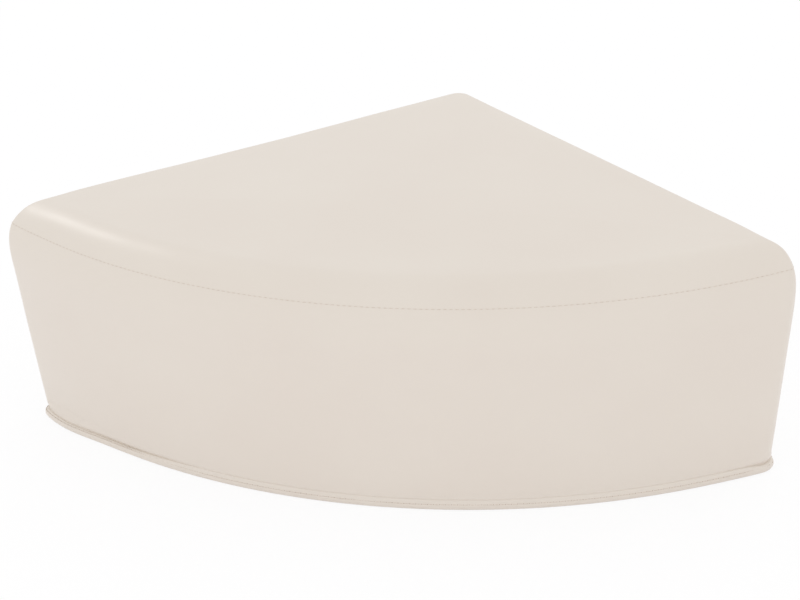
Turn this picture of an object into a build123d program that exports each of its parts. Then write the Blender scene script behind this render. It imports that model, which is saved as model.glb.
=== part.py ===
"""Corner stool: a quarter-round foam seat in a sewn cover that zips off along one back wall.

Millimetres, +Z up. The origin is on the floor under the middle of the stool's box. The bowed
front faces -Y, and the two straight back walls meet at the back corner on +Y.
"""

import os
from math import atan, cos, radians, sin, sqrt, tan

from build123d import *

# Shape of the covered stool
seat_side = 505.0  # length of a back wall between its sharp corners, at seat level
front_radius = 565.0  # radius of the bowed front, at seat level
seat_height = 205.0  # floor to the top of the crown
crown_rise = 2.5  # how far the middle of the seat stands above its side corners
crown_from_corner = 300.0  # back corner to the highest point of the seat
wall_lean = 3.4  # degrees that each wall draws in towards the floor
front_roll = 48.5  # radius of the rolled front edge
edge_round = 7.5  # radius of the back walls' top edges, on round the roll's ends to the side corners
back_corner_round = 13.0  # radius of the upright back corner

# Cover
cover_thickness = 1.5
seam_drop = 19.0  # top of the crown down to the seam under the seat panel
corner_seam_setback = 36.0  # side corner to the upright seam, along a back wall
back_seam_setback = 36.0  # back corner to the upright seam, along the left wall

# Hem round the base
hem_height = 12.0
hem_flare = 2.6  # how far the lip stands out past the wall above it
hem_round = 1.6
base_thickness = 1.5

# Foam
foam_ease = 0.3  # between the foam and the inside of the cover
base_slab_height = 104.0  # floor to the glue line between the two foam slabs

# Zip in the left back wall
zip_height = 52.0  # floor to the middle of the zip
zip_gap = 10.0  # opening between the two wall strips that shows the teeth
tape_width = 14.0
tape_thickness = 0.8
bead_outer = 3.2  # middle of the zip to the outside of the teeth's root
bead_inner = 2.0  # middle of the zip to the inside of the teeth's root
tooth_tip = 0.7  # middle of the zip to the ends of the teeth
tooth_thickness = 2.2
tooth_pitch = 3.0
tooth_length = 1.6
chain_setback = 12.0  # upright seam to the first tooth
stop_length = 4.0
stop_wall = 0.7

# Zip slider and its pull tab
run_clearance = 0.3  # round everything that moves in the zip
wing_thickness = 1.2
wing_length = 12.0
wing_tail_width = 8.2
wing_round = 1.2
post_length = 4.0
bail_width = 2.4
bail_length = 9.0
bail_thickness = 1.1
bail_bore_height = 2.2
pull_bar_radius = 0.5
pull_thickness = 1.2
pull_arm_width = 1.3
pull_eye_length = 6.5  # hinge to the near end of the tab
pull_length = 30.0  # hinge to the far end of the tab
pull_width = 7.0
pull_hole_radius = 1.6
metal_edge = 0.25  # rounding of the slider's, the pull's and the stops' edges

# Values that follow from the sizes above
lean = radians(wall_lean)
seam_height = seat_height - seam_drop
diagonal = sqrt(0.5)
side_corner_x = seat_side * diagonal
front_sagitta = front_radius - sqrt(front_radius**2 - side_corner_x**2)
lean_step = tan(lean) + 1 / cos(lean)  # plan inset at seat level for a face moved in by 1
front_cut = (lean_step - 1) * front_roll  # the roll and the lean take this off the front
back_cut = (sqrt(2) - 1) * back_corner_round + (lean_step - 1) * edge_round
back_corner_y = (side_corner_x + front_sagitta - front_cut + back_cut) / 2
front_centre_y = back_corner_y - side_corner_x - front_sagitta + front_radius
crown_reach = sqrt(side_corner_x**2 + (crown_from_corner - side_corner_x) ** 2)
crown_radius = (crown_reach**2 + crown_rise**2) / (2 * crown_rise)
corner_seam = seat_side - corner_seam_setback  # back corner to the seam, along a back wall
block_reach = 2 * seat_height * tan(lean)  # further than the walls lean in
chain_start = back_seam_setback + chain_setback
chain_end = corner_seam - chain_setback
tape_face = -cover_thickness  # the zip is measured outwards from the wall's outer face
tape_back = tape_face - tape_thickness
teeth_middle = (tape_face + tape_back) / 2
teeth_face = teeth_middle + tooth_thickness / 2
teeth_back = teeth_middle - tooth_thickness / 2
wing_under = teeth_face + run_clearance
wing_face = wing_under + wing_thickness
lower_wing_face = teeth_back - run_clearance
lower_wing_back = lower_wing_face - wing_thickness
wing_width = zip_gap - 2 * run_clearance
slider_rest = chain_start + run_clearance + wing_length / 2
pull_level = wing_face + bail_bore_height / 2
pull_eye_width = bail_width + 2 * run_clearance


def wall_inset(level):
    """How far the leaning walls stand inside their seat-level outline at this height."""
    return (seat_height - level) * tan(lean)


def wall_plane(side, level, inset, slope):
    """Plane of a back wall: x runs from the back corner at this height, z points outwards."""
    outwards = Vector(side * diagonal * cos(slope), diagonal * cos(slope), -sin(slope))
    corner = Vector(0, back_corner_y - inset / diagonal, level)
    along = Vector(side * diagonal, -diagonal, 0)
    return Plane(origin=corner, x_dir=along, z_dir=outwards)


def quarter_block(top, inset, slope):
    """Sharp quarter-round block on the floor; its sides start inset at the top and lean by slope."""
    reach = front_radius - inset
    with BuildPart() as block:
        with Locations((0, front_centre_y, 0)):
            on_floor = (Align.CENTER, Align.CENTER, Align.MIN)
            Cone(reach - top * tan(slope), reach, top, rotation=(0, 0, 90), align=on_floor)
        for side in (-1, 1):
            split(bisect_by=wall_plane(side, top, inset, slope), keep=Keep.BOTTOM)
    return block.part


def stool_form(inset):
    """The stool's outer form with every face moved in by inset."""
    with BuildPart() as form:
        add(quarter_block(seat_height - inset, inset * lean_step, lean))
        with Locations((0, back_corner_y - crown_from_corner, seat_height - crown_radius)):
            Sphere(crown_radius - inset, rotation=(90, 0, 0), mode=Mode.INTERSECT)
        upper_edges = form.edges().filter_by(lambda e: e.center().Z > seat_height / 2)
        fillet(upper_edges.sort_by(Axis.Y)[0], front_roll - inset)
        fillet(form.edges().sort_by(Axis.Y)[-1], back_corner_round - inset)
        walls = form.faces().filter_by(GeomType.PLANE).filter_by(lambda f: f.center().Z > 1)
        rim = walls.edges().filter_by(lambda e: abs(e.center().X) > back_corner_round)
        rim = rim.filter_by(lambda e: e.center().Z > 1)
        fillet(rim, edge_round - inset)
    return form.part


def wall_block(side, start, end):
    """Upright block over a stretch of a back wall, measured from the back corner."""
    corner = Plane(origin=(0, back_corner_y, 0), x_dir=(side * diagonal, -diagonal, 0))
    with BuildPart(corner) as block:
        with Locations(((start + end) / 2, 0, 0)):
            Box(end - start, 2 * block_reach, seat_height, align=(Align.CENTER, Align.CENTER, Align.MIN))
    return block.part


def zip_block(along, across, outwards):
    """Block in the zip's own directions, each given as its two ends."""
    spans = (along, across, outwards)
    with BuildPart(zip_plane) as block:
        with Locations(tuple(sum(span) / 2 for span in spans)):
            Box(*[abs(span[1] - span[0]) for span in spans])
    return block.part


left_wall = wall_plane(-1, seat_height, 0, lean)
zip_origin = left_wall.from_local_coords(Vector(0, (zip_height - seat_height) / cos(lean), 0))
zip_plane = Plane(origin=zip_origin, x_dir=left_wall.x_dir, z_dir=left_wall.z_dir)

outer_form = stool_form(0)
inner_form = stool_form(cover_thickness)
foam_form = stool_form(cover_thickness + foam_ease)

# Foam block, glued up from two slabs
with BuildPart() as foam_seat_slab:
    add(foam_form)
    split(bisect_by=Plane.XY.offset(base_slab_height), keep=Keep.TOP)
foam_seat_slab.part.label = "foam_seat_slab"

channel_floor = lower_wing_back - run_clearance - foam_ease
channel_half = bead_outer + tape_width + foam_ease
with BuildPart() as foam_base_slab:
    add(foam_form)
    split(bisect_by=Plane.XY.offset(base_slab_height), keep=Keep.BOTTOM)
    split(bisect_by=Plane.XY.offset(base_thickness + foam_ease), keep=Keep.TOP)
    channel_ends = (back_seam_setback - foam_ease, corner_seam + foam_ease)
    add(zip_block(channel_ends, (-channel_half, channel_half), (channel_floor, 1)), mode=Mode.SUBTRACT)
foam_base_slab.part.label = "foam_base_slab"

# Sewn cover
with BuildPart() as seat_panel:
    add(outer_form)
    add(inner_form, mode=Mode.SUBTRACT)
    split(bisect_by=Plane.XY.offset(seam_height), keep=Keep.TOP)
seat_panel.part.label = "seat_panel"

with BuildPart() as cover_band:
    add(outer_form)
    add(inner_form, mode=Mode.SUBTRACT)
    split(bisect_by=Plane.XY.offset(seam_height), keep=Keep.BOTTOM)
    split(bisect_by=Plane.XY.offset(hem_height), keep=Keep.TOP)

with BuildPart() as front_panel:
    add(cover_band.part)
    add(wall_block(1, -block_reach, corner_seam), mode=Mode.SUBTRACT)
    add(wall_block(-1, -block_reach, corner_seam), mode=Mode.SUBTRACT)
front_panel.part.label = "front_panel"

with BuildPart() as right_wall_panel:
    add(wall_block(1, -block_reach, corner_seam))
    add(wall_block(-1, -block_reach, back_seam_setback))
    add(cover_band.part, mode=Mode.INTERSECT)
right_wall_panel.part.label = "right_wall_panel"

with BuildPart() as left_wall_upper:
    add(wall_block(-1, back_seam_setback, corner_seam))
    add(cover_band.part, mode=Mode.INTERSECT)
    slot_edge = zip_plane.from_local_coords(Vector(0, zip_gap / 2, 0))
    split(bisect_by=Plane(slot_edge, z_dir=zip_plane.y_dir), keep=Keep.TOP)
left_wall_upper.part.label = "left_wall_upper"

with BuildPart() as left_wall_lower:
    add(wall_block(-1, back_seam_setback, corner_seam))
    add(cover_band.part, mode=Mode.INTERSECT)
    slot_edge = zip_plane.from_local_coords(Vector(0, -zip_gap / 2, 0))
    split(bisect_by=Plane(slot_edge, z_dir=zip_plane.y_dir), keep=Keep.BOTTOM)
left_wall_lower.part.label = "left_wall_lower"

with BuildPart() as base_panel:
    add(inner_form)
    split(bisect_by=Plane.XY.offset(base_thickness), keep=Keep.BOTTOM)
base_panel.part.label = "base_panel"

# Folded hem that closes the foot of the walls, flared to a lip
with BuildPart() as hem_binding:
    add(quarter_block(hem_height, wall_inset(hem_height), -atan(hem_flare / hem_height)))
    uprights = hem_binding.edges().filter_by(lambda e: 1 < e.center().Z < hem_height - 1)
    fillet(uprights.sort_by(Axis.Y)[-1], back_corner_round)
    uprights = hem_binding.edges().filter_by(lambda e: 1 < e.center().Z < hem_height - 1)
    fillet(uprights.filter_by(lambda e: abs(e.center().X) > side_corner_x / 2), edge_round)
    fillet(hem_binding.faces().sort_by(Axis.Z)[0].edges(), hem_round)
    add(inner_form, mode=Mode.SUBTRACT)
hem_binding.part.label = "hem_binding"

# Zip
tape_ends = (back_seam_setback, corner_seam)
tape_edge = bead_outer + tape_width
with BuildPart() as zip_tape_upper:
    add(zip_block(tape_ends, (bead_outer, tape_edge), (tape_back, tape_face)))
zip_tape_upper.part.label = "zip_tape_upper"

with BuildPart() as zip_tape_lower:
    add(zip_block(tape_ends, (-tape_edge, -bead_outer), (tape_back, tape_face)))
zip_tape_lower.part.label = "zip_tape_lower"


def tooth_row(side, shift):
    """Bead along the edge of a tape with its row of teeth, set on by shift along the zip."""
    run = chain_end - chain_start
    count = int(run / tooth_pitch) - 1
    bead_middle = side * (bead_outer + bead_inner) / 2
    tooth_depth = bead_outer - tooth_tip
    with BuildPart() as row:
        with BuildSketch(zip_plane.offset(teeth_back)):
            with Locations((chain_start + run / 2, bead_middle)):
                Rectangle(run, bead_outer - bead_inner)
            with Locations((chain_start + run / 2 + shift, side * (tooth_tip + tooth_depth / 2))):
                with GridLocations(tooth_pitch, tooth_pitch, count, 1):
                    RectangleRounded(tooth_length, tooth_depth, tooth_length / 4)
        extrude(amount=tooth_thickness)
    return row.part


with BuildPart() as zip_teeth_upper:
    add(tooth_row(1, tooth_pitch / 4))
zip_teeth_upper.part.label = "zip_teeth_upper"

with BuildPart() as zip_teeth_lower:
    add(tooth_row(-1, -tooth_pitch / 4))
zip_teeth_lower.part.label = "zip_teeth_lower"

stop_reach = bead_outer + stop_wall
stop_face = teeth_face + stop_wall
stop_back = teeth_back - stop_wall
with BuildPart() as zip_top_stops:
    top_stop_ends = (chain_start - stop_length, chain_start)
    for side in (-1, 1):
        add(zip_block(top_stop_ends, (side * tooth_tip, side * stop_reach), (stop_back, stop_face)))
    add(zip_tape_upper.part, mode=Mode.SUBTRACT)
    add(zip_tape_lower.part, mode=Mode.SUBTRACT)
zip_top_stops.part.label = "zip_top_stops"

with BuildPart() as zip_bottom_stop:
    bottom_stop_ends = (chain_end, chain_end + stop_length)
    add(zip_block(bottom_stop_ends, (-stop_reach, stop_reach), (stop_back, stop_face)))
    add(zip_tape_upper.part, mode=Mode.SUBTRACT)
    add(zip_tape_lower.part, mode=Mode.SUBTRACT)
zip_bottom_stop.part.label = "zip_bottom_stop"

# Slider: two wings round the teeth, a post between them and a bail for the pull
slider_origin = zip_plane.from_local_coords(Vector(slider_rest, 0, 0))
slider_plane = Plane(slider_origin, x_dir=zip_plane.x_dir, z_dir=zip_plane.z_dir)
wing_points = [
    (-wing_length / 2, -wing_width / 2),
    (0, -wing_width / 2),
    (wing_length / 2, -wing_tail_width / 2),
    (wing_length / 2, wing_tail_width / 2),
    (0, wing_width / 2),
    (-wing_length / 2, wing_width / 2),
]
outwards = Axis(slider_origin, slider_plane.z_dir)
upper_flange_foot = tape_face + run_clearance
lower_flange_top = tape_back - run_clearance
bail_side = slider_plane.from_local_coords(Vector(0, bail_width / 2, wing_face))
bail_plane = Plane(bail_side, x_dir=slider_plane.x_dir, z_dir=-slider_plane.y_dir)
with BuildPart() as zip_slider:
    wings = (
        (wing_under, upper_flange_foot, wing_under - upper_flange_foot),
        (lower_wing_back, lower_wing_face, lower_flange_top - lower_wing_face),
    )
    for plate_foot, flange_foot, flange_depth in wings:
        with BuildSketch(slider_plane.offset(plate_foot)) as plate:
            Polygon(*wing_points, align=None)
            fillet(plate.vertices(), wing_round)
        extrude(amount=wing_thickness)
        if plate_foot == wing_under:
            fillet(zip_slider.faces().sort_by(outwards)[-1].edges(), metal_edge)
        with BuildSketch(slider_plane.offset(flange_foot)) as flanges:
            Polygon(*wing_points, align=None)
            fillet(flanges.vertices(), wing_round)
            Rectangle(2 * wing_length, 2 * (bead_outer + run_clearance), mode=Mode.SUBTRACT)
        extrude(amount=flange_depth)
    with BuildSketch(slider_plane.offset(lower_wing_face)):
        with Locations((post_length - wing_length / 2, 0)):
            SlotOverall(post_length, 2 * (tooth_tip - run_clearance))
    extrude(amount=wing_under - lower_wing_face)
    with BuildSketch(bail_plane) as arch:
        bail_rise = bail_bore_height + bail_thickness
        with Locations((0, bail_rise / 2)):
            Rectangle(bail_length, bail_rise)
        fillet(arch.vertices().group_by(Axis.Y)[-1], bail_thickness + metal_edge)
        with Locations((0, bail_bore_height / 2)):
            Rectangle(bail_length - 2 * bail_thickness, bail_bore_height, mode=Mode.SUBTRACT)
    extrude(amount=bail_width)
zip_slider.part.label = "zip_slider"

with BuildPart() as zip_pull:
    arm_reach = pull_eye_width / 2 + pull_arm_width
    tab_points = [
        (-pull_thickness / 2, -arm_reach),
        (pull_length, -pull_width / 2),
        (pull_length, pull_width / 2),
        (-pull_thickness / 2, arm_reach),
    ]
    with BuildSketch(slider_plane.offset(pull_level - pull_thickness / 2)) as tab:
        Polygon(*tab_points, align=None)
        fillet(tab.vertices().group_by(Axis.X)[-1], pull_width / 3)
        with Locations((0, 0)):
            Rectangle(2 * pull_eye_length, pull_eye_width, mode=Mode.SUBTRACT)
        with Locations((pull_length - pull_width / 2, 0)):
            Circle(pull_hole_radius, mode=Mode.SUBTRACT)
    extrude(amount=pull_thickness)
    tab_faces = zip_pull.faces().sort_by(outwards)
    fillet(tab_faces[-1].edges() + tab_faces[0].edges(), metal_edge)
    bar_length = pull_eye_width + pull_arm_width
    bar_start = slider_plane.from_local_coords(Vector(0, -bar_length / 2, pull_level))
    with BuildSketch(Plane(bar_start, x_dir=slider_plane.x_dir, z_dir=slider_plane.y_dir)):
        Circle(pull_bar_radius)
    extrude(amount=bar_length)
zip_pull.part.label = "zip_pull"

os.makedirs("parts", exist_ok=True)
export_step(foam_base_slab.part, "parts/foam_base_slab.step")
export_step(foam_seat_slab.part, "parts/foam_seat_slab.step")
export_step(seat_panel.part, "parts/seat_panel.step")
export_step(front_panel.part, "parts/front_panel.step")
export_step(right_wall_panel.part, "parts/right_wall_panel.step")
export_step(left_wall_upper.part, "parts/left_wall_upper.step")
export_step(left_wall_lower.part, "parts/left_wall_lower.step")
export_step(base_panel.part, "parts/base_panel.step")
export_step(hem_binding.part, "parts/hem_binding.step")
export_step(zip_tape_upper.part, "parts/zip_tape_upper.step")
export_step(zip_tape_lower.part, "parts/zip_tape_lower.step")
export_step(zip_teeth_upper.part, "parts/zip_teeth_upper.step")
export_step(zip_teeth_lower.part, "parts/zip_teeth_lower.step")
export_step(zip_top_stops.part, "parts/zip_top_stops.step")
export_step(zip_bottom_stop.part, "parts/zip_bottom_stop.step")
export_step(zip_slider.part, "parts/zip_slider.step")
export_step(zip_pull.part, "parts/zip_pull.step")
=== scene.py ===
import math
import bmesh
import bpy
from mathutils import Matrix, Vector, noise


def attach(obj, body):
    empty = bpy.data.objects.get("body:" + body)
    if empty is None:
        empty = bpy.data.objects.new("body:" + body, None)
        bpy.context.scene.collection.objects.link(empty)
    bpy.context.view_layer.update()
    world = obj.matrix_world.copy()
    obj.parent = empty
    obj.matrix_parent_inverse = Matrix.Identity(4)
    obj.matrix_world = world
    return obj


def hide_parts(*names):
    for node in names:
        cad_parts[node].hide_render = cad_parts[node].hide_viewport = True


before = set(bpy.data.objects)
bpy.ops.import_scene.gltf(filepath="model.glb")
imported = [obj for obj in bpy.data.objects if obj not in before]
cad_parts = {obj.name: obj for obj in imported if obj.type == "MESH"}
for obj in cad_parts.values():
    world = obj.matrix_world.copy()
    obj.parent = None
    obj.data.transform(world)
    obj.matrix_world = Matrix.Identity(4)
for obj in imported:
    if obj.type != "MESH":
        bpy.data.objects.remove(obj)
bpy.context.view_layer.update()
scene = bpy.context.scene
scene.view_settings.view_transform = "Standard"
print("frame loaded:", len(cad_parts), "nodes")


def placed(place, across, up, back):  # the matrix of a thing at this place, turned to these three axes
    return Matrix.Translation(place) @ Matrix((across, up, back)).transposed().to_4x4()


# camera, at the photograph's viewing angle
shot = dict(lens=81.703, sensor=36, clipStart=.05, turn=13.6461, rise=26.26, roll=-2.359, distance=1.63266,
            slide=(-.00082, .00839), target=(0, -.06082, .1016))


def placeCamera():
    turn, rise, roll = (math.radians(shot[key]) for key in ("turn", "rise", "roll"))
    back = Vector((math.sin(turn) * math.cos(rise), -math.cos(turn) * math.cos(rise), math.sin(rise)))
    right = Vector((math.cos(turn), math.sin(turn), 0))
    up = back.cross(right)
    across = right * math.cos(roll) + up * math.sin(roll)
    upright = up * math.cos(roll) - right * math.sin(roll)
    place = Vector(shot["target"]) + back * shot["distance"]
    place += across * shot["slide"][0] + upright * shot["slide"][1]
    bpy.ops.object.camera_add(location=place)
    camera = bpy.context.object
    camera.matrix_world = placed(place, across, upright, back)
    camera.data.sensor_width = shot["sensor"]
    camera.data.lens = shot["lens"]
    camera.data.clip_start = shot["clipStart"]
    scene.camera = camera


placeCamera()
print("camera placed")

# the stool's form: metres, with the lean in degrees
form = dict(side=.505, frontRadius=.565, backCornerY=.243558, lean=3.4, height=.205, topEdge=.2024,
            crown=.0026, crownFromCorner=.3, roll=.0484, edge=.0060, sideCorner=.0150, topCorner=.0028,
            backCorner=.0108, seam=.186, backSeam=.036, cornerSeam=.469, cornerSeamGap=.003)
half = math.sqrt(.5)
along = Vector((half, -half))  # from the back corner down the right back wall
off = Vector((half, half))  # square to that wall, outwards
apex = Vector((0, form["backCornerY"]))
cornerDrop = form["side"] * half  # from the back corner to the line of the side corners
bowDepth = math.sqrt(form["frontRadius"] ** 2 - cornerDrop ** 2)
bow = apex + Vector((0, bowDepth - cornerDrop))  # the centre of the front's arc

# the ends' unevenness: where each end is moved, over what reach, and how far
fuller = dict(leftEnd=((-.344, -.108), .034, (-.0028, -.0008)),
              rightEnd=((.340, -.105), .040, (.0020, -.0008)),
              leftHem=((-.308, -.144), .045, (-.0006, -.0062)),
              leftTip=((-.340, -.103), .022, (.0080, -.0046)),
              leftFoot=((-.340, -.103), .030, (.0012, -.0004)),
              rightHem=((.335, -.115), .040, (.0018, -.0008)))
# the heights at which such a move is nothing, then whole
fullerAt = dict(hem=(.016, .008), foot=(.09, .02), leftRise=(.150, .185), leftFall=(.215, .185),
                rightRise=(.0072, .0112), rightFall=(.184, .024))

# points in each stretch of half a ring, and the columns where the upright seams run
columns = dict(corner=4, backEnd=4, wall=80, sideEnd=4, sideCorner=8, front=70)
ringSize = 2 * sum(columns.values())
rightSeam = columns["corner"] + columns["backEnd"] + columns["wall"]
rightCorner = rightSeam + columns["sideEnd"] + columns["sideCorner"] / 2
leftSeam = ringSize - rightSeam
backSeam = ringSize - columns["corner"] - columns["backEnd"]


def within(value):
    return min(max(value, 0), 1)


def fade(value, none, whole):  # 0 at one value, 1 at the other
    return within((value - none) / (whole - none))


def hump(value, middle, width):
    return math.exp(-((value - middle) / width) ** 2)


def bell(point, middle, reach):
    return math.exp(-((point.x - middle[0]) ** 2 + (point.y - middle[1]) ** 2) / reach ** 2)


def spread(first, last, count):
    return [first + (last - first) * k / count for k in range(count)]


def onCircle(centre, radius, turn):
    return centre + radius * Vector((math.cos(turn), math.sin(turn)))


def drawnIn(z, radius):  # how far a leaning wall with a rolled top edge stands inside the seat's outline
    lean = math.radians(form["lean"])
    middle = form["topEdge"] - radius
    if z <= middle - radius * math.sin(lean):
        return (form["height"] - z) * math.tan(lean)
    centre = (form["height"] - middle) * math.tan(lean) + radius / math.cos(lean)
    return centre - math.sqrt(max(radius ** 2 - (z - middle) ** 2, 0))


def wallStops(z, out):  # insets of front and back, then the side corner's radius, start and centre
    front = drawnIn(z, form["roll"]) - out
    back = drawnIn(z, form["edge"]) - out
    share = fade(z, form["topEdge"] - form["roll"], form["topEdge"])
    share = share * share * (3 - 2 * share)
    side = form["sideCorner"] * (1 - share) + form["topCorner"] * share
    start = apex - off * (back + side) - bow
    reach = form["frontRadius"] - front - side
    run = start.dot(along)
    last = -run + math.sqrt(run ** 2 - start.length_squared + reach ** 2)
    return front, back, side, last, start + along * last + bow


def unevenEnds(points, z):
    part = {name: fade(z, *heights) for name, heights in fullerAt.items()}
    hem = part["hem"]
    shares = dict(leftEnd=part["leftRise"] * part["leftFall"], rightEnd=part["rightRise"] * part["rightFall"],
                  leftHem=hem, leftTip=hem, leftFoot=part["foot"] * (1 - hem), rightHem=hem)
    for k, p in enumerate(points):
        for name, (spot, reach, move) in fuller.items():
            points[k] = points[k] + Vector(move) * shares[name] * bell(p, spot, reach)


def outline(z, out=0):  # the ring of points round the stool at this height, clockwise from the back corner
    front, back, side, last, corner = wallStops(z, out)
    turnRadius = form["backCorner"]
    first = back + turnRadius
    pivot = apex - Vector((0, first / half))
    quarter, eighth = math.radians(90), math.radians(45)
    points = [onCircle(pivot, turnRadius, turn) for turn in spread(quarter, eighth, columns["corner"])]
    stops = [first, form["backSeam"], min(form["cornerSeam"], last - form["cornerSeamGap"]), last]
    if z > form["seam"]:  # above the seam the columns close up with the rolled ends
        low = wallStops(form["seam"], 0)
        lowFirst = low[1] + turnRadius
        scale = (last - first) / (low[3] - lowFirst)
        stops = [first] + [first + (stop - lowFirst) * scale for stop in stops[1:3]] + [last]
    for k, name in enumerate(("backEnd", "wall", "sideEnd")):
        points += [apex + along * step - off * back for step in spread(stops[k], stops[k + 1], columns[name])]
    way = corner - bow
    end = math.atan2(way.y, way.x)
    points += [onCircle(corner, side, turn) for turn in spread(eighth, end, columns["sideCorner"])]
    reach = form["frontRadius"] - front
    points += [onCircle(bow, reach, turn) for turn in spread(end, -quarter, columns["front"])]
    points.append(bow - Vector((0, reach)))
    points += [Vector((-p.x, p.y)) for p in reversed(points[1:-1])]
    unevenEnds(points, z)
    return [Vector((p.x, p.y, z)) for p in points]


def centreAt(z):  # the spot that the rings of the seat and of the base close on
    return Vector((0, form["backCornerY"] - form["crownFromCorner"], z))


def deselectAll():
    if bpy.context.mode != "OBJECT":
        bpy.ops.object.mode_set(mode="OBJECT")
    bpy.ops.object.select_all(action="DESELECT")


def activate(piece):
    deselectAll()
    piece.select_set(True)
    bpy.context.view_layer.objects.active = piece


def editPiece(piece):
    activate(piece)
    bpy.ops.object.mode_set(mode="EDIT")
    return bmesh.from_edit_mesh(piece.data)


def applyTransform():
    bpy.ops.object.transform_apply(location=True, rotation=True, scale=True)


def layersOf(mesh):
    return mesh.verts.layers.int["column"], mesh.verts.layers.int["row"]


def startRing(name, points):
    deselectAll()
    bpy.ops.mesh.primitive_circle_add(vertices=len(points))
    piece = bpy.context.object
    piece.name = piece.data.name = name
    bpy.ops.object.mode_set(mode="EDIT")
    mesh = bmesh.from_edit_mesh(piece.data)
    for layer in ("column", "row"):
        mesh.verts.layers.int.new(layer)
    column = layersOf(mesh)[0]
    for number, vert in enumerate(mesh.verts):
        vert[column] = number
        vert.co = points[number]
    bmesh.update_edit_mesh(piece.data)
    return piece


def addRing(piece, points, number):
    bpy.ops.mesh.extrude_edges_indiv()
    mesh = bmesh.from_edit_mesh(piece.data)
    column, row = layersOf(mesh)
    for vert in mesh.verts:
        if vert.select:
            vert.co = points[vert[column]]
            vert[row] = number
    bmesh.update_edit_mesh(piece.data)


def closeRing():  # draws the last ring to a point
    bpy.ops.mesh.extrude_edges_indiv()
    bpy.ops.mesh.merge(type="CENTER")


def faceOutwards():
    bpy.ops.mesh.select_all(action="SELECT")
    bpy.ops.mesh.normals_make_consistent(inside=False)


smoothAngle = math.radians(60)


def finishMesh(piece, levels, thickness=0):
    activate(piece)
    if levels:
        smooth = piece.modifiers.new("smooth", "SUBSURF")
        smooth.levels = smooth.render_levels = levels
        bpy.ops.object.modifier_apply(modifier="smooth")
    if thickness:
        wall = piece.modifiers.new("wall", "SOLIDIFY")
        wall.thickness = thickness
        wall.offset = -1
        bpy.ops.object.modifier_apply(modifier="wall")
    bpy.ops.object.shade_smooth_by_angle(angle=smoothAngle)


# the cover: one skin is pulled over the foam and filled, then cut along its seams
# the foot's rings: height and stand-out where it lies flush on the hem, then where it is tucked in
# the fold's steps: share of its depth, and how far it draws in along the panel
cover = dict(foot=((.0094, .0008, .0062, -.0010), (.0100, .0007, .0070, -.0008),
                   (.0107, .0005, .0080, -.0006), (.0115, .0003, .0092, -.0003),
                   (.0125, .0001, .0108, -.0001), (.0138, 0, .0128, 0),
                   (.0154, 0, .0150, 0), (.0171, 0, .0170, 0)),
             slot=(.0470, .0570), sink=.0015, bandSink=.0005, bandAt=(.160, .178), seatRows=9,
             seamSink=.00018, slotSink=.0005, ridgeSink=.0002, cornerHold=.6, cornerColumns=11, frames=20,
             evening=14, fold=.0022, slotFold=.0011, foldSteps=((.15, 0), (.35, .00006), (.5, .00012)),
             gap=.00001, crisp=.65, thickness=.0009)
clothSettings = dict(vertex_group_mass="sewn", use_pressure=True, uniform_pressure_force=6, quality=5,
                     mass=.02, tension_stiffness=10, compression_stiffness=10, shear_stiffness=5,
                     bending_stiffness=.5, shrink_min=-.02)
wallLevels = [.0190, .0223, .0260, .0310, .0360, .0405, .0440, .0458, .0470, .0520, .0570, .0582, .0600,
              .0640, .0690, .0750]
wallLevels += [.0810 + .006 * k for k in range(16)]
wallLevels += [.1755, .1790, .1815, .1835, .1850, .1860]
seatLevels = [.1868, .1880, .1898, .1921, .1944, .1964, .1982, .1998, .2010, .2018, .2022, .2024]
capShares = [.990, .976, .958, .936, .910, .880, .848, .814, .778, .740, .700, .658, .614, .568, .520,
             .470, .418, .364, .308, .250, .190, .128, .066]
# where the foot tucks in above the lip, in columns from the left corner and from the right tip
tuckedAt = dict(leftRise=(-50, -32), leftFall=(30, 12), rightFall=(8, 4), rightMost=.8, least=.1)


def evenRow(z, out):
    return z, out, z, out


skinRows = list(cover["foot"]) + [evenRow(z, 0) for z in wallLevels + seatLevels]
rowHeights = [row[0] for row in skinRows]
seamRow = rowHeights.index(form["seam"])
slotRows = [rowHeights.index(level) for level in cover["slot"]]


def tuckedIn(column):  # most at the left end, a little at the right tip
    fromLeft = column - leftSeam + columns["sideEnd"]
    left = fade(fromLeft, *tuckedAt["leftRise"]) * fade(fromLeft, *tuckedAt["leftFall"])
    right = tuckedAt["rightMost"] * fade(abs(column - rightCorner), *tuckedAt["rightFall"])
    return max(left, right, tuckedAt["least"])


def unevenRing(flushHeight, flushOut, tuckedHeight, tuckedOut):
    pairs = zip(outline(flushHeight, flushOut), outline(tuckedHeight, tuckedOut))
    return [flush.lerp(tucked, tuckedIn(k)) for k, (flush, tucked) in enumerate(pairs)]


def layOutSkin():
    skin = startRing("coverSkin", unevenRing(*skinRows[0]))
    for number, row in enumerate(skinRows[1:], 1):
        addRing(skin, unevenRing(*row), number)
    edge = outline(form["topEdge"])
    middle = centreAt(form["topEdge"])
    for number, share in enumerate(capShares, len(skinRows)):
        rise = Vector((0, 0, form["crown"] * (1 - share ** 2) ** 2))
        addRing(skin, [middle + (p - middle) * share + rise for p in edge], number)
    closeRing()
    mesh = bmesh.from_edit_mesh(skin.data)
    for vert in mesh.verts:
        if vert.select:
            vert.co.z = form["topEdge"] + form["crown"]
            vert[layersOf(mesh)[1]] = len(skinRows) + len(capShares)
    bmesh.update_edit_mesh(skin.data)
    faceOutwards()
    bpy.ops.object.mode_set(mode="OBJECT")
    return skin


def columnsAndRows(mesh):
    return [[a.value for a in mesh.attributes[name].data] for name in ("column", "row")]


def fromCorner(column):  # columns between this one and the nearer side corner
    return min(abs(column - rightCorner), abs(column - (ringSize - rightCorner)))


def onLeftWall(column):
    return leftSeam <= column <= backSeam


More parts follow.
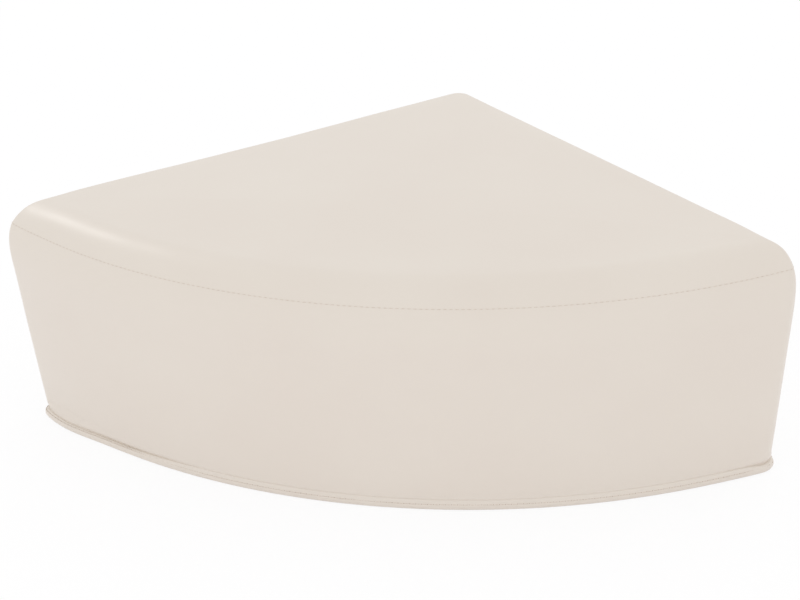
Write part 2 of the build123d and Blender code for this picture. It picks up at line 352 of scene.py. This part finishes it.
def isSewn(column, row):
    upright = row < seamRow and column in (rightSeam, leftSeam, backSeam)
    return row in (0, seamRow) or upright or (onLeftWall(column) and slotRows[0] <= row <= slotRows[1])


def sinkAt(z, column, row):  # how deep the skin starts inside its full form
    if row == 0:
        return cover["ridgeSink"]
    if row in slotRows and onLeftWall(column):
        return cover["slotSink"]
    if row == seamRow:
        return cover["seamSink"]
    sink = cover["sink"] + (cover["bandSink"] - cover["sink"]) * fade(z, *cover["bandAt"])
    if row > seamRow:  # thin over the firm top edge, and none on the flat of the seat
        sink = cover["bandSink"] * (1 - within((row - len(skinRows)) / cover["seatRows"]))
    return sink * (1 - cover["cornerHold"] * hump(fromCorner(column), 0, cover["cornerColumns"]))


def runCloth(skin, held):
    skin.vertex_groups.new(name=clothSettings["vertex_group_mass"]).add(held, 1, "REPLACE")
    cloth = skin.modifiers.new("fill", "CLOTH")
    for key, value in clothSettings.items():
        setattr(cloth.settings, key, value)
    cloth.settings.effector_weights.gravity = 0
    cloth.collision_settings.use_collision = False
    cloth.point_cache.frame_start = 1
    cloth.point_cache.frame_end = cover["frames"]
    for number in range(1, cover["frames"] + 1):
        scene.frame_set(number)
    activate(skin)
    bpy.ops.object.modifier_apply(modifier="fill")
    scene.frame_set(1)


def evenOut(mesh, lift, sewn):  # foam doesn't hold a crease, so the lift evens out
    near = [[] for _ in lift]
    for edge in mesh.edges:
        near[edge.vertices[0]].append(edge.vertices[1])
        near[edge.vertices[1]].append(edge.vertices[0])
    for _ in range(cover["evening"]):
        lift = [0 if k in sewn else (own + sum(lift[n] for n in near[k]) / len(near[k])) / 2
                for k, own in enumerate(lift)]
    return lift


def fillSkin(skin):
    column, row = columnsAndRows(skin.data)
    points = range(len(row))
    normals = [v.normal.copy() for v in skin.data.vertices]
    depth = [sinkAt(v.co.z, column[k], row[k]) for k, v in enumerate(skin.data.vertices)]
    start = [v.co - normals[k] * depth[k] for k, v in enumerate(skin.data.vertices)]
    sewn = {k for k in points if isSewn(column[k], row[k])}
    for k, vert in enumerate(skin.data.vertices):
        vert.co = start[k]
    flat = [k for k in points if row[k] >= len(skinRows) + cover["seatRows"]]
    runCloth(skin, list(sewn) + flat)
    lift = [(v.co - start[k]).dot(normals[k]) for k, v in enumerate(skin.data.vertices)]
    lift = [min(max(lift[k], 0), depth[k]) for k in points]
    lift = evenOut(skin.data, lift, sewn)
    print("fill: mean lift", sum(lift) / len(lift), "most", max(lift))
    for k, vert in enumerate(skin.data.vertices):
        vert.co = start[k] + normals[k] * lift[k]
    skin.data.update()


skin = layOutSkin()
print("cover skin laid out:", len(skin.data.vertices), "points")
fillSkin(skin)
print("cover skin filled")


# slack and tucks that the filled skin takes on
slack = dict(wall=.00010, wallScale=15, seat=.00014, seatScale=9, raisedOver=.008, capFade=(.70, .98),
             edgeSag=.0012, dip=.0013, dipReach=.028, dipSpots=((-.322, -.085), (.322, -.085)),
             cornerColumns=13, tuck=.0004, tuckAt=(.0132, .0026), tuckScale=14, tuckLayer=3, tuckShare=.35,
             tuckGain=1.3, endTuck=.0011, endAt=(.0092, .0024), pucker=.00016, puckerAt=(.013, .007),
             puckerScale=Vector((75, 75, 25)), zipRows=3)


def seatRelief(place, column, row):  # along the normal, then straight down
    move = slack["seat"] * noise.noise(place * slack["seatScale"])
    raised = within((place.z - form["seam"]) / slack["raisedOver"])
    if row >= len(skinRows):  # dies away over the seat
        share = capShares[min(row - len(skinRows), len(capShares) - 1)]
        raised = fade(share, *slack["capFade"]) ** 2
    if onLeftWall(column):
        share = (column - leftSeam) / (backSeam - leftSeam)
        move -= slack["edgeSag"] * math.sin(math.pi * share) ** 2 * raised
    down = slack["dip"] * raised * sum(bell(place, spot, slack["dipReach"]) for spot in slack["dipSpots"])
    return move, down


def wallRelief(place, column):  # along the normal
    move = slack["wall"] * noise.noise(place * slack["wallScale"])
    near = hump(fromCorner(column), 0, slack["cornerColumns"])
    spot = Vector((place.x * slack["tuckScale"], place.y * slack["tuckScale"], slack["tuckLayer"]))
    fold = within(slack["tuckShare"] + slack["tuckGain"] * noise.noise(spot)) * (1 - near)
    move -= slack["tuck"] * fold * hump(place.z, *slack["tuckAt"])
    move -= slack["endTuck"] * near * hump(place.z, *slack["endAt"])
    ripple = noise.noise(place * slack["puckerScale"])
    return move + ripple * slack["pucker"] * hump(place.z, *slack["puckerAt"])


def slackenSkin(skin):
    column, row = columnsAndRows(skin.data)
    normals = [v.normal.copy() for v in skin.data.vertices]
    for k, vert in enumerate(skin.data.vertices):
        byZip = slotRows[0] - slack["zipRows"] <= row[k] <= slotRows[1] + slack["zipRows"]
        if row[k] in (0, seamRow) or (byZip and onLeftWall(column[k])):
            continue
        if row[k] > seamRow:
            move, down = seatRelief(vert.co, column[k], row[k])
            vert.co += normals[k] * move - Vector((0, 0, down))
        else:
            vert.co += normals[k] * wallRelief(vert.co, column[k])
    skin.data.update()


slackenSkin(skin)
print("cover skin slackened")


def cutPanel(skin, name, belongs):
    mesh = editPiece(skin)
    column, row = layersOf(mesh)
    bpy.ops.mesh.select_mode(type="FACE")
    bpy.ops.mesh.select_all(action="DESELECT")
    for face in mesh.faces:
        low = min(vert[row] for vert in face.verts)
        sides = sorted(vert[column] for vert in face.verts if vert[row] <= low + 1)
        side = sides[-1] if sides[-1] - sides[0] > 1 else sides[0]
        if belongs(side, low):
            face.select_set(True)
    bmesh.update_edit_mesh(skin.data)
    bpy.ops.mesh.separate(type="SELECTED")
    bpy.ops.object.mode_set(mode="OBJECT")
    piece = [o for o in bpy.context.selected_objects if o is not skin][0]
    piece.name = piece.data.name = name
    return piece


def foldEdges(piece):
    mesh = editPiece(piece)
    bpy.ops.mesh.select_mode(type="EDGE")
    bpy.ops.mesh.select_all(action="SELECT")
    bpy.ops.mesh.region_to_loop()
    column, row = layersOf(mesh)
    turned = {}
    for vert in mesh.verts:
        if vert.select:
            others = [edge.other_vert(vert) for edge in vert.link_edges]
            inner = [o for o in others if not o.select] or others
            inwards = sum((o.co - vert.co for o in inner), Vector())
            turned[vert[column], vert[row]] = vert.normal.copy(), inwards.normalized()
    for vert in mesh.verts:
        if vert.select:
            vert.co += turned[vert[column], vert[row]][1] * cover["gap"]
    bmesh.update_edit_mesh(piece.data)
    bpy.ops.transform.edge_crease(value=cover["crisp"])
    for share, draw in cover["foldSteps"]:  # rounds over, then straight in
        bpy.ops.mesh.extrude_edges_indiv()
        mesh = bmesh.from_edit_mesh(piece.data)
        column, row = layersOf(mesh)
        for vert in mesh.verts:
            if vert.select:
                depth = cover["slotFold"] if vert[row] in slotRows else cover["fold"]
                away, inwards = turned[vert[column], vert[row]]
                vert.co += inwards * draw - away * depth * share
        bmesh.update_edit_mesh(piece.data)
    bpy.ops.object.mode_set(mode="OBJECT")


def inLeftPanel(side):  # a face is known by its first column
    return leftSeam <= side < backSeam


seatCover = cutPanel(skin, "seatCover", lambda side, low: low >= seamRow)
slotWaste = cutPanel(skin, "slotWaste",
                     lambda side, low: inLeftPanel(side) and slotRows[0] <= low < slotRows[1])
bpy.data.objects.remove(slotWaste)
leftLowerCover = cutPanel(skin, "leftLowerCover", lambda side, low: inLeftPanel(side) and low < slotRows[0])
leftUpperCover = cutPanel(skin, "leftUpperCover", lambda side, low: inLeftPanel(side))
frontCover = cutPanel(skin, "frontCover", lambda side, low: rightSeam <= side < leftSeam)
rightWallCover = skin
rightWallCover.name = rightWallCover.data.name = "rightWallCover"
coverPanels = [seatCover, frontCover, rightWallCover, leftUpperCover, leftLowerCover]
for panel in coverPanels:
    foldEdges(panel)
    finishMesh(panel, 0 if panel is seatCover else 1, cover["thickness"])  # the seat's rings are close enough
print("cover cut into", len(coverPanels), "panels")

# the hem: a folded strip sewn under the walls, its rings laid out as the foot's are
# it ripples away from its middle where it stands out furthest
hem = dict(profile=((.0104, -.0012, .0072, -.0012), (.0104, -.0002, .0072, -.0002),
                    (.0100, .0004, .0068, .0008), (.0088, .0009, .0060, .0016),
                    (.0068, .0015, .0047, .0021), (.0046, .0020, .0031, .0022),
                    (.0024, .0019, .0016, .0018), (.0008, .0012, .0006, .0011),
                    (.0001, .0002, .0001, .0002), (.0001, -.0045, .0001, -.0045),
                    (.0098, -.0045, .0066, -.0045)),
           ripple=.00018, rippleFrom=.0010, rippleScale=Vector((40, 40, 60)), middleY=.02)


def makeHem():
    piece = startRing("hemBinding", unevenRing(*hem["profile"][0]))
    for number, row in enumerate(hem["profile"][1:], 1):
        ring = unevenRing(*row)
        if row[1] > hem["rippleFrom"]:
            for k, p in enumerate(ring):
                away = Vector((p.x, p.y - hem["middleY"], 0)).normalized()
                ring[k] = p + away * hem["ripple"] * noise.noise(p * hem["rippleScale"])
        addRing(piece, ring, number)
    bpy.ops.mesh.select_all(action="SELECT")
    bpy.ops.mesh.region_to_loop()
    bpy.ops.mesh.bridge_edge_loops()
    faceOutwards()
    bpy.ops.object.mode_set(mode="OBJECT")
    finishMesh(piece, 1)
    return piece


hemBinding = makeHem()
print("hem made")

# the base: a non-slip sheet with raised dots in staggered rows
base = dict(level=.0009, out=-.0048, thickness=.0010, shares=(.985, .93, .84, .72, .58, .42, .25, .1),
            dotPitch=.017, rowPitch=.866, dotRows=40, dotRadius=.0027, dotHeight=.0014, margin=.013)


def makeBase():
    edge = outline(base["level"], base["out"])
    middle = centreAt(base["level"])
    piece = startRing("baseSheet", edge)
    for number, share in enumerate(base["shares"], 1):
        addRing(piece, [middle + (p - middle) * share for p in edge], number)
    closeRing()
    faceOutwards()
    mesh = bmesh.from_edit_mesh(piece.data)
    if sum(face.normal.z for face in mesh.faces) > 0:
        bpy.ops.mesh.flip_normals()
    bpy.ops.object.mode_set(mode="OBJECT")
    finishMesh(piece, 0, base["thickness"])
    return piece


def copies(name, template, places):  # one modelled shape, copied to each place with its own mesh
    points, faces = [], []
    corners = [v.co.copy() for v in template.data.vertices]
    sides = [tuple(p.vertices) for p in template.data.polygons]
    for place in places:
        first = len(points)
        points += [place @ c for c in corners]
        faces += [tuple(first + k for k in side) for side in sides]
    mesh = bpy.data.meshes.new(name)
    mesh.from_pydata(points, [], faces)
    mesh.update()
    piece = bpy.data.objects.new(name, mesh)
    scene.collection.objects.link(piece)
    bpy.data.objects.remove(template)
    activate(piece)
    bpy.ops.object.shade_smooth()
    return piece


def makeDots():
    deselectAll()
    bpy.ops.mesh.primitive_uv_sphere_add(segments=8, ring_count=5, radius=1)
    template = bpy.context.object
    inset = drawnIn(base["level"], form["edge"]) - base["out"] + base["margin"]
    size = Matrix.Diagonal((base["dotRadius"], base["dotRadius"], base["dotHeight"] / 2, 1))
    mirrored = Vector((-off.x, off.y))
    steps = range(-base["dotRows"], base["dotRows"] + 1)
    places = []
    for i in steps:
        for j in steps:
            spot = base["dotPitch"] * Vector((i + .5 * (j % 2), base["rowPitch"] * j))
            fromWalls = min((apex - spot).dot(off), (apex - spot).dot(mirrored))
            if min(fromWalls, form["frontRadius"] - (spot - bow).length) > inset:
                places.append(Matrix.Translation((spot.x, spot.y, base["dotHeight"] / 2)) @ size)
    return copies("baseDots", template, places)


baseSheet = makeBase()
baseDots = makeDots()
print("base made")

# the foam: copies of the two slabs, drawn in clear of the cover's turned-in edges
foam = dict(weld=.00002, voxel=.007, smoothing=.5, rounds=2, ease=.0034)


def makeFoam(name, node):
    piece = bpy.data.objects.new(name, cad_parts[node].data.copy())
    scene.collection.objects.link(piece)
    editPiece(piece)
    bpy.ops.mesh.select_all(action="SELECT")
    bpy.ops.mesh.remove_doubles(threshold=foam["weld"])
    bpy.ops.object.mode_set(mode="OBJECT")
    piece.data.materials.clear()
    blocks = piece.modifiers.new("blocks", "REMESH")
    blocks.mode = "VOXEL"
    blocks.voxel_size = foam["voxel"]
    bpy.ops.object.modifier_apply(modifier="blocks")
    mesh = editPiece(piece)
    bpy.ops.mesh.select_all(action="SELECT")
    bpy.ops.mesh.vertices_smooth(factor=foam["smoothing"], repeat=foam["rounds"])
    bpy.ops.transform.shrink_fatten(value=-foam["ease"])
    for vert in mesh.verts:  # pressed the way the cover's ends are
        spot = [vert.co.xy]
        unevenEnds(spot, vert.co.z)
        vert.co.xy = spot[0]
    bmesh.update_edit_mesh(piece.data)
    bpy.ops.object.mode_set(mode="OBJECT")
    bpy.ops.object.shade_smooth()
    return piece


foamBase = makeFoam("foamBase", "foam_base_slab")
foamSeat = makeFoam("foamSeat", "foam_seat_slab")
print("foam made")

# thread: one stitch, copied along each seam
# no needle holes are cut: small dark dots of painted shade stand for them, sized and sunk by the hole entries
thread = dict(seamPitch=.0048, seamLength=.0030, seamWidth=.0006, seamSunk=.0002, upright=(.010, .1845),
              uprightSteps=40, hemPitch=.0050, hemLength=.0036, hemWidth=.0006,
              hemLine=(.0060, .0017, .0066, .0011), zipPitch=.0046, zipLength=.0034, zipWidth=.0007,
              zipAway=.0036, zipSunk=.0002, slopeStep=.0006, holeShadeSize=(.0010, .0010, .0005), holeShadeSunk=.0001)


def stitchTemplate():
    deselectAll()
    bpy.ops.mesh.primitive_uv_sphere_add(segments=6, ring_count=6, radius=.5, rotation=(0, math.pi / 2, 0))
    applyTransform()
    return bpy.context.object


def outwards(ring, low, high, column):
    ahead = ring[(column + 1) % ringSize] - ring[column - 1]
    return (high[column] - low[column]).cross(ahead).normalized()


def levelLine(row, first=0, last=None):  # points round the stool, with outward normals
    height, out, tuckedHeight, tuckedOut = row
    step = thread["slopeStep"]
    low, here, high = (unevenRing(height + up, out, tuckedHeight + up, tuckedOut) for up in (-step, 0, step))
    return [(p, outwards(here, low, high, k)) for k, p in enumerate(here)][first:last]


def uprightLine(column, low, high):
    step, count = thread["slopeStep"], thread["uprightSteps"]
    line = []
    for k in range(count + 1):
        z = low + (high - low) * k / count
        here = outline(z, -thread["seamSunk"])
        line.append((here[column], outwards(here, outline(z - step), outline(z + step), column)))
    return line


def walk(line, pitch, closed):  # even steps along a line: place, direction, normal
    if closed:
        line = line + line[:1]
    total = sum((b[0] - a[0]).length for a, b in zip(line, line[1:]))
    step = total / round(total / pitch)
    stops, reached = [], step / 2
    for a, b in zip(line, line[1:]):
        run = (b[0] - a[0]).length
        ahead = (b[0] - a[0]).normalized()
        while reached <= run and run > 0:
            share = reached / run
            stops.append((a[0].lerp(b[0], share), ahead, a[1].lerp(b[1], share).normalized()))
            reached += step
        reached -= run
    return stops


def frameAt(place, ahead, normal, size):
    aside = normal.cross(ahead).normalized()
    return placed(place, ahead * size[0], aside * size[1], normal * size[2])


def sewAlong(line, closed, seam):
    pitch, length, width = (thread[seam + key] for key in ("Pitch", "Length", "Width"))
    stitches, holeShades = [], []
    for place, ahead, normal in walk(line, pitch, closed):
        stitches.append(frameAt(place, ahead, normal, (length, width, width)))
        # a dark dot of painted shade stands for the needle hole between two stitches
        holeShade = place + ahead * pitch / 2 - normal * thread["holeShadeSunk"]
        holeShades.append(frameAt(holeShade, ahead, normal, thread["holeShadeSize"]))
    return stitches, holeShades


seamStitches = sewAlong(levelLine(evenRow(form["seam"], -thread["seamSunk"])), True, "seam")[0]
for column in (rightSeam, leftSeam, backSeam):
    seamStitches += sewAlong(uprightLine(column, *thread["upright"]), False, "seam")[0]
hemStitches, hemHoleShades = sewAlong(levelLine(thread["hemLine"]), True, "hem")
zipStitches, zipHoleShades = [], []
for level, way in zip(cover["slot"], (-1, 1)):
    row = evenRow(level + way * thread["zipAway"], -thread["zipSunk"])
    stitches, holeShades = sewAlong(levelLine(row, leftSeam + 1, backSeam), False, "zip")
    zipStitches += stitches
    zipHoleShades += holeShades
seamThread = copies("seamThread", stitchTemplate(), seamStitches)
hemThread = copies("hemThread", stitchTemplate(), hemStitches)
zipThread = copies("zipThread", stitchTemplate(), zipStitches)
# the needle holes are dark dots of painted shade, not holes
needleHoleShades = copies("needleHoleShades", stitchTemplate(), hemHoleShades + zipHoleShades)
print("thread sewn:", len(seamStitches), len(hemStitches), len(zipStitches), "stitches")


# a scrap of tape behind each end of the zip, between its stop and the seam
# the ends: the seam's column, the way from it along the zip, and how far towards the next column
scrap = dict(size=(.0062, .0092), cuts=5, thickness=.0005, level=.0520, depth=.0024, sag=.0002,
             ends=((backSeam, -1, .57), (leftSeam, 1, .55)))


def makeScraps():
    deselectAll()
    bpy.ops.mesh.primitive_plane_add(size=1)
    template = bpy.context.object
    template.scale = scrap["size"] + (1,)
    applyTransform()
    mesh = editPiece(template)
    bpy.ops.mesh.select_all(action="SELECT")
    bpy.ops.mesh.subdivide(number_cuts=scrap["cuts"])
    for vert in mesh.verts:
        vert.co.z = -scrap["sag"] * math.cos(math.pi * vert.co.y / scrap["size"][1])
    bmesh.update_edit_mesh(template.data)
    bpy.ops.object.mode_set(mode="OBJECT")
    finishMesh(template, 0, scrap["thickness"])
    line = levelLine(evenRow(scrap["level"], -scrap["depth"]))
    places = []
    for column, way, share in scrap["ends"]:
        (here, normal), (there, _) = line[column], line[column + way]
        places.append(frameAt(here.lerp(there, share), (there - here).normalized() * way, normal, (1, 1, 1)))
    return copies("zipEndScraps", template, places)


zipEndScraps = makeScraps()
print("zip ends backed")


# finishes
class Wire:
    def __init__(self, tree, socket):
        self.tree = tree
        self.socket = socket

    def maths(self, operation, first, second):
        made = self.tree.nodes.new("ShaderNodeMath")
        made.operation = operation
        for place, value in enumerate((first, second)):
            if isinstance(value, Wire):
                self.tree.links.new(value.socket, made.inputs[place])
            else:
                made.inputs[place].default_value = value
        return Wire(self.tree, made.outputs[0])

    def __add__(self, other):
        return self.maths("ADD", self, other)

    def __radd__(self, other):
        return self.maths("ADD", other, self)

    def __sub__(self, other):
        return self.maths("SUBTRACT", self, other)

    def __rsub__(self, other):
        return self.maths("SUBTRACT", other, self)

    def __mul__(self, other):
        return self.maths("MULTIPLY", self, other)

    def __rmul__(self, other):
        return self.maths("MULTIPLY", other, self)


class Shading:
    def __init__(self, tree):
        self.tree = tree

    def node(self, kind, settings, inputs, output=0):
        made = self.tree.nodes.new("ShaderNode" + kind)
        for key, value in settings.items():
            setattr(made, key, value)
        for key, value in inputs.items():
            if isinstance(value, Wire):
                self.tree.links.new(value.socket, made.inputs[key])
            else:
                made.inputs[key].default_value = value
        return Wire(self.tree, made.outputs[output])

    def directRays(self):  # the rays that see the floor and the sky as a white background
        kinds = ("Is Camera Ray", "Is Glossy Ray", "Is Transmission Ray")
        camera, glossy, transmission = (self.node("LightPath", {}, {}, kind) for kind in kinds)
        return camera + glossy + transmission


class Finish(Shading):
    def __init__(self, name, **constants):
        self.material = bpy.data.materials.new(name)
        self.material.use_nodes = True
        super().__init__(self.material.node_tree)
        self.shader = self.tree.nodes["Principled BSDF"]
        for socket, value in constants.items():
            self.shader.inputs[socket.replace("_", " ")].default_value = value
        self.place = self.node("TexCoord", {}, {}, "Object")

    def turned(self, rotation, scale=(1, 1, 1)):
        return self.node("Mapping", {}, {"Vector": self.place, "Rotation": rotation, "Scale": scale})

    def mottle(self, scale, detail, roughness=.5, place=None):
        return self.node("TexNoise", {}, {"Vector": place or self.place, "Scale": scale, "Detail": detail,
                                          "Roughness": roughness})

    def wave(self, axis, scale, distortion, place=None):
        return self.node("TexWave", {"bands_direction": axis},
                         {"Vector": place or self.place, "Scale": scale, "Distortion": distortion})

    def blend(self, share, first, second):
        return self.node("Mix", {"data_type": "RGBA"}, {0: share, 6: first, 7: second}, 2)

    def bump(self, height, strength, distance):
        return self.node("Bump", {}, {"Strength": strength, "Distance": distance, "Height": height})

    def feed(self, **sockets):
        for socket, wire in sockets.items():
            self.tree.links.new(wire.socket, self.shader.inputs[socket.replace("_", " ")])
        return self.material


def colour(red, green, blue):  # screen values, 0 to 255, as linear light
    return tuple(((c / 255 + .055) / 1.055) ** 2.4 for c in (red, green, blue)) + (1,)


vinyl = dict(pale=colour(229, 220.6, 210.2), mid=colour(227, 217.6, 207.2), warm=colour(222, 211, 199),
             grain=850, fine=260, cloud=7, cloudRange=(.3, .7), grainWarmth=.05, fineWarmth=.10,
             roughness=.29)


def vinylFinish():
    finish = Finish("creamVinyl", Specular_IOR_Level=.5)
    cloud = finish.mottle(vinyl["cloud"], detail=3, roughness=.55)
    fine = finish.mottle(vinyl["fine"], detail=2, roughness=.6)
    pebble = finish.node("TexVoronoi", {"feature": "SMOOTH_F1"},
                         {"Vector": finish.place, "Scale": vinyl["grain"], "Smoothness": .5})
    low, high = vinyl["cloudRange"]
    broad = finish.node("MapRange", {}, {"Value": cloud, "From Min": low, "From Max": high})
    tone = finish.blend(broad, vinyl["mid"], vinyl["pale"])
    tone = finish.blend((1 - pebble) * vinyl["grainWarmth"] + fine * vinyl["fineWarmth"], tone, vinyl["warm"])
    bump = finish.bump(pebble * .7 + fine * .5, strength=.10, distance=.00025)
    return finish.feed(Base_Color=tone, Roughness=vinyl["roughness"] + cloud * .04 + fine * .03, Normal=bump)


# the hole colour is painted shade: the dark inside a needle hole, painted on a dot
sewing = dict(light=colour(222, 211, 199), dark=colour(206, 192, 178), holeShade=colour(180, 158, 142),
              ply=1400 / 6, plyTurn=(.6, .5, .7), fuzz=3000, rim=1500)


def threadFinish():
    finish = Finish("sewingThread", Specular_IOR_Level=.3)
    ply = finish.wave("X", sewing["ply"], distortion=.4, place=finish.turned(sewing["plyTurn"]))
    fuzz = finish.mottle(sewing["fuzz"], detail=2)
    tone = finish.blend(ply * .5 + fuzz * .2, sewing["light"], sewing["dark"])
    bump = finish.bump(ply, strength=.4, distance=.0001)
    return finish.feed(Base_Color=tone, Roughness=.55 + fuzz * .2, Normal=bump)


# painted shade for the needle holes, mottled towards the thread colour
def holeShadeFinish():
    finish = Finish("needleHoleShadePaint", Specular_IOR_Level=.15)
    rim = finish.mottle(sewing["rim"], detail=2)
    tone = finish.blend(rim, sewing["holeShade"], sewing["dark"])
    return finish.feed(Base_Color=tone, Roughness=.7 + rim * .2)


padding = dict(pale=colour(238, 229, 199), deep=colour(206, 190, 148), cells=700, lumps=25)


def foamFinish():
    finish = Finish("openFoam", Specular_IOR_Level=.2)
    cells = finish.node("TexVoronoi", {}, {"Vector": finish.place, "Scale": padding["cells"]})
    lumps = finish.mottle(padding["lumps"], detail=4)
    tone = finish.blend(cells * .8 + lumps * .2, padding["deep"], padding["pale"])
    bump = finish.bump(cells, strength=.7, distance=.0006)
    return finish.feed(Base_Color=tone, Roughness=.85 + lumps * .1, Normal=bump)


underside = dict(cloth=colour(62, 60, 58), fibre=colour(88, 85, 81), weave=190, lint=60,
                 dot=colour(38, 37, 36), scuff=colour(70, 68, 66), wear=90, speck=1600)


def baseFinish():
    finish = Finish("nonSlipCloth", Specular_IOR_Level=.2)
    over, under = (finish.wave(axis, underside["weave"], distortion=.6) for axis in "XY")
    lint = finish.mottle(underside["lint"], detail=5)
    tone = finish.blend(over * under * .6 + lint * .4, underside["cloth"], underside["fibre"])
    bump = finish.bump(over * under, strength=.5, distance=.0003)
    return finish.feed(Base_Color=tone, Roughness=.75 + lint * .2, Normal=bump)


def dotFinish():
    finish = Finish("rubberDot", Specular_IOR_Level=.4)
    worn = finish.mottle(underside["wear"], detail=5)
    speck = finish.mottle(underside["speck"], detail=2)
    tone = finish.blend(worn * .6, underside["dot"], underside["scuff"])
    bump = finish.bump(speck, strength=.25, distance=.0002)
    return finish.feed(Base_Color=tone, Roughness=.5 + worn * .25, Normal=bump)


# the zip's textures are turned to lie along the left back wall
zipper = dict(turn=(math.radians(form["lean"]), 0, math.radians(-45)),
              tape=colour(222, 212, 198), rib=colour(198, 186, 170), weave=330, lint=120,
              tooth=colour(226, 218, 206), shade=colour(206, 196, 182), flow=400,
              bright=colour(214, 212, 208), dull=colour(172, 169, 164), brush=(60, 900, 900), wear=220)


def tapeFinish():
    finish = Finish("zipTapeWeave", Specular_IOR_Level=.25)
    turned = finish.turned(zipper["turn"])
    warp, weft = (finish.wave(axis, zipper["weave"], distortion=.2, place=turned) for axis in "ZX")
    lint = finish.mottle(zipper["lint"], detail=3)
    weave = warp * .6 + weft * .4
    tone = finish.blend(weave * .7 + lint * .3, zipper["rib"], zipper["tape"])
    bump = finish.bump(weave, strength=.6, distance=.0002)
    return finish.feed(Base_Color=tone, Roughness=.7 + lint * .2, Normal=bump)


def toothFinish():
    finish = Finish("mouldedTooth", Specular_IOR_Level=.5)
    flow = finish.mottle(zipper["flow"], detail=3)
    tone = finish.blend(flow, zipper["shade"], zipper["tooth"])
    bump = finish.bump(flow, strength=.1, distance=.0001)
    return finish.feed(Base_Color=tone, Roughness=.32 + flow * .15, Normal=bump)


def metalFinish():
    finish = Finish("platedMetal", Metallic=1)
    brush = finish.mottle(1, detail=3, place=finish.turned(zipper["turn"], zipper["brush"]))
    worn = finish.mottle(zipper["wear"], detail=4)
    tone = finish.blend(worn, zipper["dull"], zipper["bright"])
    bump = finish.bump(brush, strength=.08, distance=.0001)
    return finish.feed(Base_Color=tone, Roughness=.2 + brush * .12 + worn * .1, Normal=bump)


def dress(material, pieces):
    for piece in pieces:
        piece.data.materials.clear()
        piece.data.materials.append(material)


def cadNodes(*names):
    return [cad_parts[name] for name in names]


dress(vinylFinish(), coverPanels + [hemBinding])
dress(threadFinish(), [seamThread, hemThread, zipThread])
# the dark dots are painted shade of the needle holes
dress(holeShadeFinish(), [needleHoleShades])
dress(foamFinish(), [foamBase, foamSeat])
dress(baseFinish(), [baseSheet])
dress(dotFinish(), [baseDots])
dress(tapeFinish(), [zipEndScraps] + cadNodes("zip_tape_upper", "zip_tape_lower"))
dress(toothFinish(), cadNodes("zip_teeth_upper", "zip_teeth_lower"))
dress(metalFinish(), cadNodes("zip_top_stops", "zip_bottom_stop", "zip_slider", "zip_pull"))
print("finishes set")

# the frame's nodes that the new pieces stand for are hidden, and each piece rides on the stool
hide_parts("seat_panel")
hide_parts("front_panel")
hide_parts("right_wall_panel")
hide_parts("left_wall_upper")
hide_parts("left_wall_lower")
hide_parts("hem_binding")
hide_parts("base_panel")
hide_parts("foam_base_slab")
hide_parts("foam_seat_slab")
slots = {"cover": coverPanels + [hemBinding, seamThread, hemThread, zipThread, needleHoleShades],
         "base": [baseSheet, baseDots], "foam": [foamBase, foamSeat], "zip_tape": [zipEndScraps]}
for name, members in slots.items():
    for piece in members:
        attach(piece, "stool")
print("pieces tied to the frame")

# floor and light
studio = dict(floor=colour(252, 251, 253), floorSize=14, floorRoughness=.9, floorGlow=1.012, glow=.85,
              sky=.970, tilt=.08, aim=(-.1, 0, .12), white=(1, 1, 1, 1),
              key=3.8, keyPlace=(-1.721, 1.097, 1.726), keyAlong=(.649, .017, .754), keySize=(.6, .3),
              fill=1.65, fillPlace=(-.1, -1.9, .16), fillAlong=(1, 0, 0), fillSize=(2, .3))


def makeFloor():
    deselectAll()
    bpy.ops.mesh.primitive_plane_add(size=studio["floorSize"], location=(0, 0, 0))
    floor = bpy.context.object
    floor.name = "studioFloor"
    finish = Finish("studioFloorPaint", Base_Color=studio["floor"], Roughness=studio["floorRoughness"],
                    Specular_IOR_Level=0)
    paint = Wire(finish.tree, finish.shader.outputs[0])
    glow = finish.node("Emission", {}, {"Color": studio["white"], "Strength": studio["floorGlow"]})
    mixed = finish.node("MixShader", {}, {0: finish.directRays() * studio["glow"], 1: paint, 2: glow})
    finish.tree.links.new(mixed.socket, finish.tree.nodes["Material Output"].inputs["Surface"])
    dress(finish.material, [floor])


def makeLight(name):
    energy, place, lengthwise, size = (studio[name + key] for key in ("", "Place", "Along", "Size"))
    bpy.ops.object.light_add(type="AREA", location=place)
    lamp = bpy.context.object
    lamp.name = name + "Light"
    lamp.data.energy = energy
    lamp.data.shape = "RECTANGLE"
    lamp.data.size, lamp.data.size_y = size
    back = (Vector(place) - Vector(studio["aim"])).normalized()
    across = (Vector(lengthwise) - back * Vector(lengthwise).dot(back)).normalized()
    lamp.matrix_world = placed(place, across, back.cross(across), back)
    lamp.visible_camera = False
    return lamp


def makeSky():
    scene.world = bpy.data.worlds.new("studioSky")
    scene.world.use_nodes = True
    sky = Shading(scene.world.node_tree)
    background = sky.tree.nodes["Background"]
    background.inputs["Color"].default_value = studio["white"]
    behind = sky.node("SeparateXYZ", {}, {0: sky.node("TexCoord", {}, {}, "Generated")}, "Y")
    soft = studio["sky"] + behind * studio["tilt"]  # a little brighter behind the stool
    level = soft + sky.directRays() * (1 - soft)
    sky.tree.links.new(level.socket, background.inputs["Strength"])


makeFloor()
makeLight("key").visible_diffuse = False  # only the sheen on the rolled edge comes from it
makeLight("fill").visible_glossy = False  # it only evens out the walls
makeSky()
print("studio set")
